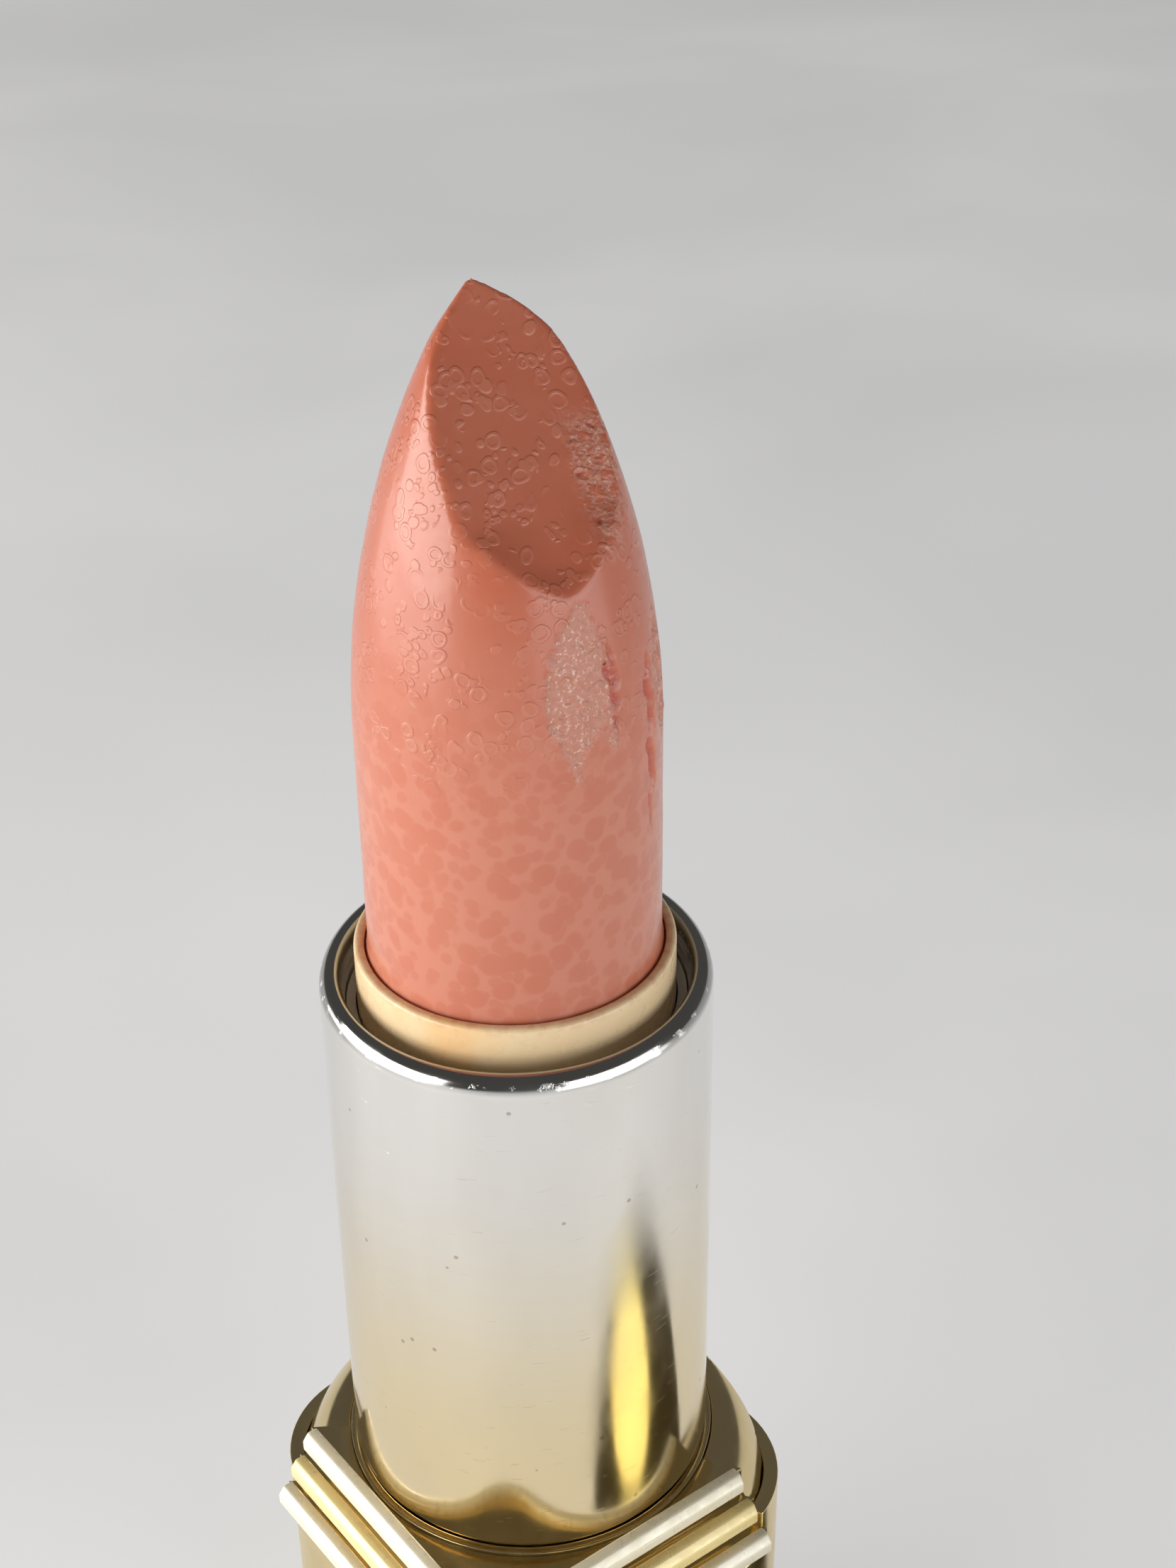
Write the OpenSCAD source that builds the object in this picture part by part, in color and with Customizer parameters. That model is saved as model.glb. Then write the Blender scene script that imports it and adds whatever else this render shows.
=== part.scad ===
/* [Outer tube] */
// Outside radius of the metal tube that the cap slides over
tube_r = 8.2; // [7.9:0.05:8.2]
// Wall of the metal tube
tube_wall = 0.5; // [0.4:0.05:0.5]
// Length of tube that stands above the base
tube_rise = 26.4; // [25:0.2:30]
// Radius of the opening inside the rolled lip
lip_open_r = 7.27; // [7.2:0.01:7.35]
// Height of the rolled edge on the outside of the lip
lip_roll = 0.9; // [0.5:0.05:1.0]

/* [Base] */
// Height of the base, from the floor to the mouth that the tube turns in
base_h = 24; // [24:0.5:30]
// Half the width of the base across its four flat sides
base_half = 9.8; // [9.8:0.1:10.5]
// Radius of the base's upright corners
base_corner_r = 5.2; // [4.8:0.1:5.6]
// Height over which the domed shoulder falls away from the mouth
shoulder_drop = 5.35; // [4.5:0.05:6]
// Wall of the metal shell
shell_wall = 0.7; // [0.6:0.05:0.8]

/* [Bars] */
// Height of each of the three bars that wrap the front corner
bar_h = 1.05; // [0.9:0.05:1.1]
// How far a bar stands out from its seat
bar_depth = 0.8; // [0.6:0.05:0.85]
// Height from one bar to the next
bar_pitch = 1.78; // [1.7:0.02:1.8]
// Distance from the base's axis to the seat of the upper bar
bar_reach = 8.65; // [8.65:0.05:8.8]
// How much further out the seat of each lower bar lies
bar_step = 0.55; // [0.45:0.01:0.55]
// Radius at which the seat turns the corner
bar_turn_r = 2.3; // [2:0.1:2.8]
// Length of the upper bar past the middle of a side
bar_tail = 5.15; // [4.8:0.05:5.2]

/* [Bullet and cup] */
// Radius of the lipstick bullet
bullet_r = 6.05; // [6:0.01:6.05]
// Height of the bullet's straight side above the tube's lip
bullet_straight = 11.4; // [10:0.1:12]
// Radius of the arc that draws the bullet in to its tip
ogive_r = 35.7; // [34:0.1:38]
// Tilt of the slanted face from the horizontal
cut_tilt = 56; // [50:1:60]
// Direction that the slanted face looks in, from the front towards the right
cut_turn = 37; // [0:1:360]
// Depth by which the slanted face is hollowed
cut_hollow = 0.35; // [0.1:0.05:0.6]
// Outside radius of the cup that holds the bullet
cup_r = 6.65; // [6.6:0.01:6.66]
// Inside radius of the cup
cup_bore_r = 6.2; // [6.15:0.01:6.25]
// Height of the cup
cup_h = 12; // [11:0.5:12]
// Height of the cup's rim above the lip when the bullet is wound out
cup_proud = 1.35; // [1:0.05:1.6]

/* [Winding mechanism] */
// Height that the bullet travels
travel = 30; // [29:0.5:30]
// Turns of the tube that wind the bullet all the way
turns = 1.5; // [1.5:0.5:2]
// Radius of the two lugs on the cup
lug_r = 0.75; // [0.6:0.05:0.75]
// Clearance between a lug and the slots that it runs in
lug_gap = 0.1; // [0.08:0.01:0.15]
// Clearance between the parts that turn or slide in one another
turn_gap = 0.07; // [0.05:0.01:0.08]

/* [Hidden] */
$fn = 96;

// The lip is the top of the tube, and the mouth is the top of the base
lip_z = base_h + tube_rise;
mouth_r = tube_r + 0.15;
shoulder_out = 2.96;
shoulder_z = base_h - shoulder_drop;
rim_drop = 2.7;
rim_bevel = 0.8;

// The tube's foot is drawn in, from just above the bars down, to turn in the bush
foot_r = tube_r - 0.2;
foot_z = base_h + 0.45;

// Bars and the stepped seat behind them: the top of the upper bar stands above the mouth
bar_proud = 0.36;
bar_bevel = 0.14;
seat_angle = 78;
seat_low = base_h - 3 * bar_pitch;
front_angle = 60;

// Collar bush, set in the bore of the shoulder
bush_bore_r = foot_r + turn_gap;
bush_r = tube_r + 0.25;
bush_proud = 0.12;

// Bottom plate and its recess for the label
plate_h = 1.25;
label_r = 6.5;
label_h = 0.12;

// Liner, weight and the guide's foot, stacked inside the shell
fit_gap = 0.02;
weight_r = 8.5;
weight_h = 5.2;
weight_z = plate_h + 0.1;
web_z = weight_z + weight_h + 0.05;
web_h = 1;
guide_z = web_z + web_h;
flange_h = 0.5;
flange_r = foot_r - 0.1;
brake_r = 0.3;
brake_z = guide_z + flange_h + brake_r + fit_gap;
sleeve_z = brake_z + brake_r + 0.05;

// Radii of the mechanism, from the cup outwards
guide_bore_r = cup_r + turn_gap;
guide_r = guide_bore_r + 0.38;
spiral_bore_r = guide_r + turn_gap;
tube_bore_r = tube_r - tube_wall;
spiral_r = tube_bore_r - 0.04;
lug_reach = spiral_r - 0.11;
hem_h = 1.2;
spiral_top = lip_z - hem_h - 0.2;
guide_top = spiral_top - 0.2;

// Cup and lugs, with the bullet wound out
cup_top = lip_z + cup_proud;
cup_z = cup_top - cup_h;
cup_floor = 1;
lug_z = cup_z + 1.5;
lug_end = 0.5;

// Helical slots: degrees of turn for each millimetre of height, and how far the slot clears the lug
helix_rate = turns * 360 / travel;
slot_half_h = 1.0;
slot_end = lug_r + 0.55;

// Upper brake ring, in a groove near the top of the guide tube
groove_r = guide_r - 0.15;
groove_z = guide_top - 2.2;
groove_h = 0.8;

// Slanted face: its low edge, its tip and the hollow between them
ogive_z = lip_z + bullet_straight;
low_r = 5.32;
low_z = lip_z + 19.28;
tip_r = 1.34;
tip_z = low_z + (low_r + tip_r) * tan(cut_tilt);
chord = (low_r + tip_r) / cos(cut_tilt);
hollow_r = chord * chord / (8 * cut_hollow) + cut_hollow / 2;

// Radius of the bullet at a height above the start of the ogive
function ogive(h) = bullet_r - (ogive_r - sqrt(ogive_r * ogive_r - h * h));
ogive_h = sqrt(ogive_r * ogive_r - pow(ogive_r - bullet_r, 2));

// Points of a quarter ellipse about (r, z), from its outer end up to its top
function quarter(r, z, a, b, steps) =
    [for (i = [0:steps]) [r + a * cos(90 * i / steps), z + b * sin(90 * i / steps)]];

// A bar's seat, its top and the length of its tails, counted down from the upper bar
function seat_at(i) = bar_reach + i * bar_step;
function bar_top(i) = base_h + bar_proud - i * bar_pitch;
function tail_at(i) = bar_tail + 0.43 * i;

// A square with round corners and corners on the X and Y axes
module rounded_square(half, r) {
    rotate(45) {
        square([2 * half, 2 * (half - r)], center = true);
        square([2 * (half - r), 2 * half], center = true);
        for (x = [-1, 1], y = [-1, 1])
            translate([x * (half - r), y * (half - r)])
                circle(r);
    }
}

// The part of a plan that faces the front corner, out to an angle on each side
module front_plan(half_angle) {
    reach = 3 * base_half;
    polygon([
        [0, 0],
        [-reach * sin(half_angle), -reach * cos(half_angle)],
        [-reach, -reach],
        [reach, -reach],
        [reach * sin(half_angle), -reach * cos(half_angle)]
    ]);
}

// Plan of the base, drawn in by an inset: its front corner is turned as tightly as the bars
module base_plan(inset) {
    front_r = bar_turn_r + base_half - seat_at(2);
    rounded_square(base_half - inset, base_corner_r - inset);
    intersection() {
        rounded_square(base_half - inset, front_r - inset);
        front_plan(front_angle);
    }
}

// Domed shoulder, drawn as a solid of revolution
module dome() {
    rotate_extrude()
        polygon(concat(
            [[0, seat_low], [mouth_r + shoulder_out, seat_low]],
            quarter(mouth_r, shoulder_z, shoulder_out, shoulder_drop, 14),
            [[0, base_h]]
        ));
}

// The stepped seat of the three bars, one flat-sided step for each
module bar_seat() {
    for (i = [0:2]) {
        top = i == 0 ? base_h - 0.05 : base_h - i * bar_pitch;
        low = base_h - (i + 1) * bar_pitch;
        translate([0, 0, low])
            linear_extrude(top - low)
                intersection() {
                    rounded_square(seat_at(i), bar_turn_r);
                    front_plan(seat_angle);
                }
    }
}

// Gold outer shell: square in plan with round corners, and cut away in front for the bars
module base_shell() {
    top = base_h - rim_drop;
    color("darkgoldenrod")
        difference() {
            union() {
                linear_extrude(top - rim_bevel)
                    base_plan(0);
                translate([0, 0, top - rim_bevel])
                    linear_extrude(rim_bevel / 2)
                        base_plan(0.1);
                translate([0, 0, top - rim_bevel / 2])
                    linear_extrude(rim_bevel / 2)
                        base_plan(0.35);
            }
            translate([0, 0, -1])
                linear_extrude(base_h + 2)
                    base_plan(shell_wall);
            translate([0, 0, seat_low - fit_gap])
                linear_extrude(base_h)
                    front_plan(seat_angle + 0.2);
        }
}

// Die-cast shoulder: a dome inside the shell, with the seat of the bars across its front
module shoulder() {
    inset = shell_wall + fit_gap;
    color("goldenrod")
        difference() {
            union() {
                difference() {
                    intersection() {
                        dome();
                        linear_extrude(base_h)
                            rounded_square(base_half - inset, base_corner_r - inset);
                    }
                    linear_extrude(base_h + 1)
                        front_plan(seat_angle);
                }
                bar_seat();
            }
            cylinder(r = bush_r + fit_gap, h = 2 * base_h);
        }
}

// Plan of a bar: a band that follows its seat round the front corner to its two tails
module bar_plan(i, depth) {
    intersection() {
        difference() {
            rounded_square(seat_at(i) + depth, bar_turn_r + depth);
            rounded_square(seat_at(i), bar_turn_r);
        }
        rotate(-135)
            translate([-tail_at(i), -tail_at(i)])
                square(3 * base_half);
    }
}

// One bar, with its two outer edges eased in two small steps
module bent_bar(i) {
    ease = bar_bevel / 2;
    low = bar_top(i) - bar_h;
    translate([0, 0, low])
        linear_extrude(bar_h)
            bar_plan(i, bar_depth - bar_bevel);
    translate([0, 0, low + ease])
        linear_extrude(bar_h - 2 * ease)
            bar_plan(i, bar_depth - 0.3 * bar_bevel);
    translate([0, 0, low + bar_bevel])
        linear_extrude(bar_h - 2 * bar_bevel)
            bar_plan(i, bar_depth);
}

// The three bars, cream above and below and gold between
module upper_bar() {
    color("ivory") bent_bar(0);
}

module middle_bar() {
    color("khaki") bent_bar(1);
}

module lower_bar() {
    color("ivory") bent_bar(2);
}

// Thin brass bush that lines the shoulder and shows as a fine ring round the tube
module collar_bush() {
    top = base_h + bush_proud;
    color("peru")
        rotate_extrude()
            polygon([
                [bush_bore_r, seat_low],
                [bush_r, seat_low],
                [bush_r, top - 0.08],
                [bush_r - 0.06, top],
                [bush_bore_r + 0.04, top],
                [bush_bore_r, top - 0.06]
            ]);
}

// Plastic liner pressed into the shell: a pocket for the weight and a bore for the tube
module base_liner() {
    low = plate_h + fit_gap;
    color("gainsboro")
        difference() {
            translate([0, 0, low])
                linear_extrude(seat_low - fit_gap - low)
                    base_plan(shell_wall + 0.05);
            translate([0, 0, guide_z])
                cylinder(r = bush_bore_r, h = base_h);
            cylinder(r = weight_r + 0.05, h = web_z);
            cylinder(r = 2, h = base_h);
        }
}

// Slotted inner tube, fixed in the base, that keeps the cup from turning
module guide_tube() {
    color("whitesmoke")
        difference() {
            union() {
                translate([0, 0, guide_z])
                    cylinder(r = guide_r, h = guide_top - guide_z);
                translate([0, 0, guide_z])
                    cylinder(r = flange_r, h = flange_h);
            }
            translate([0, 0, guide_z - 1])
                cylinder(r = guide_bore_r, h = guide_top);
            translate([0, 0, groove_z])
                difference() {
                    cylinder(r = guide_r + 1, h = groove_h);
                    translate([0, 0, -1])
                        cylinder(r = groove_r, h = groove_h + 2);
                }
            for (side = [-1, 1])
                translate([
                    side * guide_r - 1,
                    -lug_r - lug_gap,
                    lug_z - travel - lug_r - lug_end
                ])
                    cube([2, 2 * (lug_r + lug_gap), travel + 2 * (lug_r + lug_end)]);
        }
}

// Silicone band that gives the winding its even drag
module upper_brake_ring() {
    color("dimgray")
        translate([0, 0, groove_z + fit_gap])
            difference() {
                cylinder(r = spiral_bore_r - 0.03, h = groove_h - 2 * fit_gap);
                translate([0, 0, -1])
                    cylinder(r = groove_r, h = groove_h + 2);
            }
}

// Silicone O-ring under the foot of the turning sleeve
module lower_brake_ring() {
    color("dimgray")
        translate([0, 0, brake_z])
            rotate_extrude()
                translate([guide_r + 0.1 + brake_r, 0])
                    circle(brake_r, $fn = 32);
}

// Steel disc that gives the base its heft
module base_weight() {
    color("slategray")
        translate([0, 0, weight_z])
            difference() {
                cylinder(r = weight_r, h = weight_h);
                translate([0, 0, -1])
                    cylinder(r = 1.5, h = weight_h + 2);
            }
}

// Plate that closes the base, with a shallow round recess for the label
module bottom_plate() {
    color("darkgoldenrod")
        difference() {
            linear_extrude(plate_h)
                base_plan(shell_wall + fit_gap);
            translate([0, 0, -1])
                cylinder(r = label_r + 0.1, h = 1 + label_h);
        }
}

// Blank paper disc that fills the recess of the bottom plate, flush with it
module shade_label() {
    color("white")
        cylinder(r = label_r, h = label_h);
}

// Metal tube, open at the bottom, with its top edge rolled inwards
module outer_tube() {
    crest_r = tube_r - 0.58;
    inner_roll = crest_r - lip_open_r;
    color("wheat")
        rotate_extrude()
            polygon(concat(
                [[tube_bore_r, sleeve_z], [foot_r, sleeve_z], [foot_r, foot_z], [tube_r, foot_z]],
                quarter(crest_r, lip_z - lip_roll, tube_r - crest_r, lip_roll, 10),
                [for (i = [1:8])
                    [crest_r - inner_roll * sin(90 * i / 8), lip_z - 0.6 * (1 - cos(90 * i / 8))]],
                [[lip_open_r, lip_z - hem_h], [tube_bore_r, lip_z - hem_h]]
            ));
}

// One helical slot, as the solid that is cut away
module helical_slot() {
    low = lug_z - travel - slot_end;
    height = travel + 2 * slot_end;
    half_angle = slot_half_h * helix_rate;
    slot_slices = round(height * helix_rate / 10);
    translate([0, 0, low])
        rotate((low - lug_z) * helix_rate)
            linear_extrude(height, twist = -height * helix_rate, slices = slot_slices, segments = 10)
                polygon(concat(
                    [for (i = [-2:2]) (spiral_r + 0.4) * [cos(half_angle * i / 2), sin(half_angle * i / 2)]],
                    [for (i = [2:-1:-2]) (spiral_bore_r - 0.4) * [cos(half_angle * i / 2), sin(half_angle * i / 2)]]
                ));
}

// Sleeve with two helical slots, fixed inside the metal tube, that lifts the lugs as it turns
module spiral_sleeve() {
    color("lightgray")
        difference() {
            translate([0, 0, sleeve_z])
                cylinder(r = spiral_r, h = spiral_top - sleeve_z);
            translate([0, 0, sleeve_z - 1])
                cylinder(r = spiral_bore_r, h = spiral_top);
            for (turn = [0, 180])
                rotate(turn)
                    helical_slot();
        }
}

// Cup that carries the bullet, with a vented floor, gripping ribs and two lugs
module cup() {
    rib_w = 0.5;
    color("bisque") {
        difference() {
            rotate_extrude()
                polygon(concat(
                    [[0, cup_z], [cup_r - 0.3, cup_z], [cup_r, cup_z + 0.3]],
                    quarter(cup_r - 0.22, cup_top - 0.22, 0.22, 0.22, 4),
                    [[cup_bore_r + 0.05, cup_top], [cup_bore_r, cup_top - 0.15]],
                    [[cup_bore_r, cup_z + cup_floor], [0, cup_z + cup_floor]]
                ));
            translate([0, 0, cup_z - 1])
                cylinder(r = 1.5, h = 3);
        }
        for (i = [0:5])
            rotate(60 * i + 30)
                translate([bullet_r + 0.01, -rib_w / 2, cup_z + cup_floor])
                    cube([cup_bore_r - bullet_r + 0.1, rib_w, cup_h / 2]);
        for (side = [-1, 1])
            translate([side * (cup_r - 0.2), 0, lug_z])
                rotate([0, side * 90, 0])
                    cylinder(r = lug_r, h = lug_reach - cup_r + 0.2);
    }
}

// Lipstick bullet: a straight side, an ogive and one hollowed slanted face
module bullet() {
    low = cup_z + cup_floor;
    middle = [(low_r - tip_r) / 2, 0, (low_z + tip_z) / 2];
    away = sqrt(hollow_r * hollow_r - chord * chord / 4);
    color("salmon")
        rotate(-90 + cut_turn)
            difference() {
                rotate_extrude()
                    polygon(concat(
                        [[0, low], [bullet_r, low]],
                        [for (i = [0:24]) [ogive(ogive_h * i / 24), ogive_z + ogive_h * i / 24]]
                    ));
                translate(middle + away * [sin(cut_tilt), 0, cos(cut_tilt)])
                    sphere(hollow_r);
            }
}

base_shell();
shoulder();
upper_bar();
middle_bar();
lower_bar();
collar_bush();
base_liner();
guide_tube();
upper_brake_ring();
lower_brake_ring();
base_weight();
bottom_plate();
shade_label();
outer_tube();
spiral_sleeve();
cup();
bullet();
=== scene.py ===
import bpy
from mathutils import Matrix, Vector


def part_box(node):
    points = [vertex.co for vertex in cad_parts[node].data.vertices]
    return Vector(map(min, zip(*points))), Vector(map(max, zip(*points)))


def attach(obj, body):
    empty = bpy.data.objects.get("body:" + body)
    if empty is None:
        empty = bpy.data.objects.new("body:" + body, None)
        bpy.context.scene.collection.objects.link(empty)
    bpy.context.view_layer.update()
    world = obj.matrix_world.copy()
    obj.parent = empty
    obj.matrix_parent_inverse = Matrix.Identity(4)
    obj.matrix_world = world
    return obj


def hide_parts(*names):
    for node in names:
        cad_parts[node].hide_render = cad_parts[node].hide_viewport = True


bl_info = {
    "name": "Lipstick Case",
    "version": (1, 0, 0),
    "blender": (4, 5, 0),
    "location": "3D View > Sidebar > Lipstick Case",
    "description": "Models the visible pieces of a wind-up lipstick case round its packed frame",
    "category": "Add Mesh",
}

import math

import bmesh
import bpy
import numpy as np
from mathutils import Matrix, Vector

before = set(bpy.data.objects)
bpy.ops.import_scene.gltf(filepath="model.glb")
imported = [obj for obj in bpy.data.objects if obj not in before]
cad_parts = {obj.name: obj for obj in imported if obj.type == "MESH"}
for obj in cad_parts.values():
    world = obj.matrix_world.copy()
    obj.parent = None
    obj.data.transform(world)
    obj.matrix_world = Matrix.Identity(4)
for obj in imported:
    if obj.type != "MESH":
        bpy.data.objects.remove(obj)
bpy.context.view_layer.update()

MM = 0.001
ROUND = 192  # sides of a large turned piece
BEYOND = 30 * MM  # longer than any piece, for cutters
HAIR = 0.02 * MM  # gap or overlap that keeps faces from lying in one plane


def low(node):
    """Lowest corner of a node's box."""
    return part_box(node)[0]


def high(node):
    """Highest corner of a node's box."""
    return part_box(node)[1]


# ---------------------------------------------------------------- sizes and colours

class LipstickSizes(bpy.types.PropertyGroup):
    """Sizes of the visible pieces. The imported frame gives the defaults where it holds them."""

    tube_radius: bpy.props.FloatProperty(
        name="Tube radius", description="Outside radius of the metal tube",
        default=high("outer_tube").x, unit="LENGTH")
    tube_wall: bpy.props.FloatProperty(
        name="Tube wall", description="Wall of the metal tube",
        default=0.5 * MM, unit="LENGTH")
    lip_opening: bpy.props.FloatProperty(
        name="Lip opening", description="Radius of the opening inside the rolled lip",
        default=7.27 * MM, unit="LENGTH")
    lip_roll: bpy.props.FloatProperty(
        name="Lip roll", description="Height of the rolled edge on the outside of the lip",
        default=0.9 * MM, unit="LENGTH")
    hem: bpy.props.FloatProperty(
        name="Hem", description="Length of the edge that is turned down inside the lip",
        default=1.2 * MM, unit="LENGTH")
    bullet_radius: bpy.props.FloatProperty(
        name="Bullet radius", description="Radius of the bullet's straight side",
        default=6.05 * MM, unit="LENGTH")
    ogive_radius: bpy.props.FloatProperty(
        name="Ogive radius", description="Radius of the arc that draws the bullet in to its tip",
        default=35.7 * MM, unit="LENGTH")
    ogive_start: bpy.props.FloatProperty(
        name="Ogive start", description="Height of the bullet's straight side above the lip",
        default=11.4 * MM, unit="LENGTH")
    face_tilt: bpy.props.FloatProperty(
        name="Face tilt", description="Tilt of the slanted face from the horizontal",
        default=math.radians(56), subtype="ANGLE")
    face_turn: bpy.props.FloatProperty(
        name="Face turn", description="Direction that the slanted face looks in, from front to right",
        default=math.radians(37), subtype="ANGLE")
    face_hollow: bpy.props.FloatProperty(
        name="Face hollow", description="Depth by which the slanted face is hollowed",
        default=0.35 * MM, unit="LENGTH")
    face_keel: bpy.props.FloatProperty(
        name="Face keel", description="How steeply the low end of the face rises to both sides",
        default=0.42, min=0, max=1)
    face_curl: bpy.props.FloatProperty(
        name="Face curl", description="How much deeper the face is cut before its low end curls up",
        default=0.3 * MM, unit="LENGTH")
    tip_shift: bpy.props.FloatProperty(
        name="Tip shift", description="How far the tip lies to the left of the middle of the face",
        default=0.45 * MM, unit="LENGTH")
    tip_pinch: bpy.props.FloatProperty(
        name="Tip pinch", description="Height below the tip over which the bullet is pinched to a point",
        default=2.4 * MM, unit="LENGTH")
    wax_voxel: bpy.props.FloatProperty(
        name="Wax voxel", description="Grain of the bullet's mesh",
        default=0.15 * MM, unit="LENGTH")
    cup_radius: bpy.props.FloatProperty(
        name="Cup radius", description="Outside radius of the cup",
        default=high("cup").y, unit="LENGTH")
    cup_bore: bpy.props.FloatProperty(
        name="Cup bore", description="Inside radius of the cup",
        default=6.2 * MM, unit="LENGTH")
    mouth_radius: bpy.props.FloatProperty(
        name="Mouth radius", description="Radius at which the domed shoulder starts to fall away",
        default=8.35 * MM, unit="LENGTH")
    shoulder_spread: bpy.props.FloatProperty(
        name="Shoulder spread", description="How far out the dome reaches from the mouth",
        default=2.96 * MM, unit="LENGTH")
    base_half: bpy.props.FloatProperty(
        name="Base half width", description="Half the width of the base across its flat sides",
        default=9.8 * MM, unit="LENGTH")
    base_corner: bpy.props.FloatProperty(
        name="Base corner", description="Radius of the base's upright corners",
        default=5.2 * MM, unit="LENGTH")
    shell_wall: bpy.props.FloatProperty(
        name="Shell wall", description="Wall of the gold shell",
        default=0.7 * MM, unit="LENGTH")
    bar_seat: bpy.props.FloatProperty(
        name="Bar seat", description="Distance from the axis to the seat of the upper bar",
        default=8.65 * MM, unit="LENGTH")
    bar_step: bpy.props.FloatProperty(
        name="Bar step", description="How much further out the seat of each lower bar lies",
        default=0.55 * MM, unit="LENGTH")
    bar_turn: bpy.props.FloatProperty(
        name="Bar turn", description="Radius at which the seat turns the corner",
        default=2.3 * MM, unit="LENGTH")
    bar_depth: bpy.props.FloatProperty(
        name="Bar depth", description="How far a bar stands out from its seat",
        default=0.8 * MM, unit="LENGTH")
    bar_tail: bpy.props.FloatProperty(
        name="Bar tail", description="Length of the upper bar past the middle of a side",
        default=5.15 * MM, unit="LENGTH")


class LipstickColours(bpy.types.PropertyGroup):
    """Colours of the visible finishes."""

    wax: bpy.props.FloatVectorProperty(
        name="Wax", description="Salmon wax of the bullet",
        default=(0.54, 0.140, 0.072), subtype="COLOR")
    wax_pale: bpy.props.FloatVectorProperty(
        name="Pale wax", description="Bloom between the darker cells and in the scrapes",
        default=(0.70, 0.31, 0.215), subtype="COLOR")
    scraped: bpy.props.FloatVectorProperty(
        name="Scraped wax", description="Greyish wax inside the scrapes",
        default=(0.58, 0.27, 0.19), subtype="COLOR")
    wax_deep: bpy.props.FloatVectorProperty(
        name="Deep wax", description="Fresh wax at the bottom of a gouge",
        default=(0.50, 0.035, 0.015), subtype="COLOR")
    cup: bpy.props.FloatVectorProperty(
        name="Cup", description="Cream plastic of the cup",
        default=(0.88, 0.67, 0.40), subtype="COLOR")
    stain: bpy.props.FloatVectorProperty(
        name="Stain", description="Wax that has stained the cup",
        default=(0.85, 0.42, 0.10), subtype="COLOR")
    tube_silver: bpy.props.FloatVectorProperty(
        name="Tube silver", description="Plate near the lip of the tube",
        default=(0.93, 0.91, 0.87), subtype="COLOR")
    # Painted reflection of the gold base, with painted shade, on the tube near its foot.
    tube_foot_painted_reflection: bpy.props.FloatVectorProperty(
        name="Tube champagne", description="Plate near the foot of the tube",
        default=(0.92, 0.77, 0.48), subtype="COLOR")
    gold: bpy.props.FloatVectorProperty(
        name="Gold", description="Polished gold plate of the shoulder and the shell",
        default=(0.88, 0.71, 0.38), subtype="COLOR")
    cream: bpy.props.FloatVectorProperty(
        name="Cream", description="Cream enamel of the upper and lower bar",
        default=(0.96, 0.91, 0.74), subtype="COLOR")
    warm_gold: bpy.props.FloatVectorProperty(
        name="Warm gold", description="Gold enamel of the middle bar",
        default=(0.97, 0.80, 0.38), subtype="COLOR")
    floor: bpy.props.FloatVectorProperty(
        name="Floor", description="Pale floor and backdrop",
        default=(0.62, 0.62, 0.63), subtype="COLOR")


# ---------------------------------------------------------------- modelling steps

def deselect():
    """Leaves object mode with nothing selected."""
    if bpy.context.object and bpy.context.object.mode != "OBJECT":
        bpy.ops.object.mode_set(mode="OBJECT")
    bpy.ops.object.select_all(action="DESELECT")


def begin(name):
    """Names the primitive that was just added and opens it for editing, with all of it selected."""
    piece = bpy.context.object
    piece.name = name
    piece.data.name = name
    bpy.ops.object.mode_set(mode="EDIT")
    bpy.ops.mesh.select_mode(type="VERT")
    bpy.ops.mesh.select_all(action="SELECT")
    return piece


def pick(piece, kind, test):
    """Selects the vertices, edges or faces that pass a test of their middle and their normal."""
    bpy.ops.mesh.select_mode(type={"verts": "VERT", "edges": "EDGE", "faces": "FACE"}[kind])
    bpy.ops.mesh.select_all(action="DESELECT")
    mesh = bmesh.from_edit_mesh(piece.data)
    mesh.normal_update()
    for part in getattr(mesh, kind):
        if kind == "verts":
            chosen = test(part.co, part.normal)
        elif kind == "edges":
            chosen = test((part.verts[0].co + part.verts[1].co) / 2, part)
        else:
            chosen = test(part.calc_center_median(), part.normal)
        if chosen:
            part.select_set(True)
    mesh.select_flush_mode()
    bmesh.update_edit_mesh(piece.data)


def close_up(distance=0.002 * MM):
    """Merges what meets and turns every face outwards."""
    bpy.ops.mesh.select_all(action="SELECT")
    bpy.ops.mesh.remove_doubles(threshold=distance)
    bpy.ops.mesh.normals_make_consistent(inside=False)


def settle(piece):
    """Puts the finished object at the origin, with its place in its mesh."""
    deselect()
    piece.select_set(True)
    bpy.context.view_layer.objects.active = piece
    bpy.ops.object.transform_apply(location=True, rotation=True, scale=True)


def apply_modifier(piece, kind, **settings):
    """Adds a modifier and applies it."""
    settle(piece)
    modifier = piece.modifiers.new(kind.title(), kind)
    for key, value in settings.items():
        setattr(modifier, key, value)
    bpy.ops.object.modifier_apply(modifier=modifier.name)


def round_edges(piece, width, segments, angle=50):
    """Bevels every edge that is sharper than an angle."""
    apply_modifier(piece, "BEVEL", width=width, segments=segments, limit_method="ANGLE",
                   angle_limit=math.radians(angle), use_clamp_overlap=True)


def cut(piece, cutter, operation="DIFFERENCE"):
    """Cuts a piece with another, which is then removed."""
    apply_modifier(piece, "BOOLEAN", object=cutter, operation=operation, solver="EXACT")
    bpy.data.objects.remove(cutter)


def join(piece, other):
    """Makes another finished object part of this one."""
    settle(piece)
    other.select_set(True)
    bpy.ops.object.join()


def smooth(piece, angle=30):
    """Shades the piece smooth, with edges sharper than an angle kept."""
    settle(piece)
    bpy.ops.object.shade_smooth_by_angle(angle=math.radians(angle))


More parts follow.
